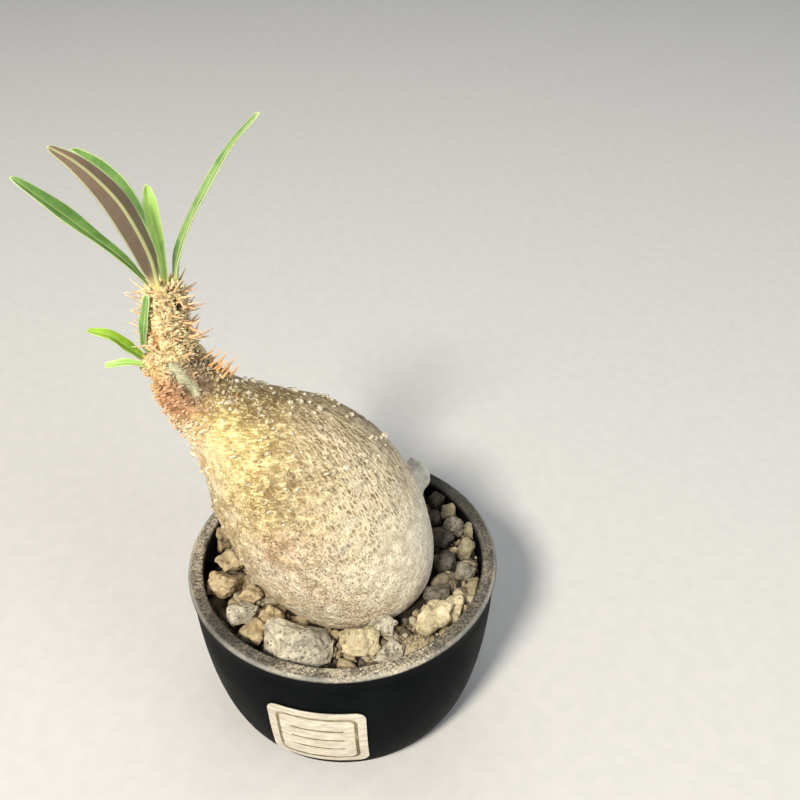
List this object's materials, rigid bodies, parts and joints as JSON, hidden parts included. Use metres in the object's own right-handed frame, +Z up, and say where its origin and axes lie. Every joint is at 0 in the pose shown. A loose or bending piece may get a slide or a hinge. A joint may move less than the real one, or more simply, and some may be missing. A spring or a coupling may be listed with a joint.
{
  "type": "potted pachypodium gracilius",
  "caption": "Young Pachypodium gracilius, a leaning swollen stem with a spiny leafy branch and side shoot, resting in pumice gravel in a small round black pot.",
  "frame": {"origin": "centre of the pot's flat base", "axes": "+Z up along the pot's axis; the plant leans towards -X; the label faces -Y"},
  "size_m": [0.1188, 0.095, 0.1954],
  "materials": {
    "pot_glaze": "satin",
    "label_paper": "matte",
    "gravel_grit": "matte",
    "stone_grey": "matte",
    "stone_tan": "matte",
    "stone_cream": "matte",
    "stone_brown": "matte",
    "stem_bark": "matte",
    "leaf_green": "satin",
    "leaf_bronze": "satin"
  },
  "bodies": {
    "root": {"pot": "pot_glaze", "label": "label_paper", "gravel": "gravel_grit", "stone_speckled": "stone_grey", "stone_square": "stone_tan", "stone_smooth": "stone_grey", "stone_left_small": "stone_tan", "stone_left_wedge": "stone_tan", "stone_front_wedge": "stone_tan", "stone_cream": "stone_cream", "stone_pale_small": "stone_grey", "stone_front_low": "stone_grey", "stone_long": "stone_cream", "stone_shade": "stone_brown", "stone_left_upright": "stone_tan", "stone_left_wide": "stone_tan", "stone_rear": "stone_grey", "stone_right_1": "stone_brown", "stone_right_2": "stone_cream", "stone_right_3": "stone_brown", "stone_right_4": "stone_grey", "stone_right_5": "stone_cream", "stone_right_6": "stone_brown", "stone_right_7": "stone_cream", "stone_right_8": "stone_brown", "stone_right_9": "stone_grey", "stone_right_10": "stone_cream", "stone_back_1": "stone_tan", "stone_back_2": "stone_grey", "stone_back_3": "stone_cream", "stone_back_4": "stone_tan", "stone_back_5": "stone_grey", "plant_stem": "stem_bark", "leaf_far_left": "leaf_green", "leaf_broad": "leaf_bronze", "leaf_behind": "leaf_green", "leaf_young": "leaf_green", "leaf_right": "leaf_green", "shoot_leaf_arched": "leaf_green", "shoot_leaf_low": "leaf_green", "shoot_leaf_upright": "leaf_green"}
  },
  "joints": []
}
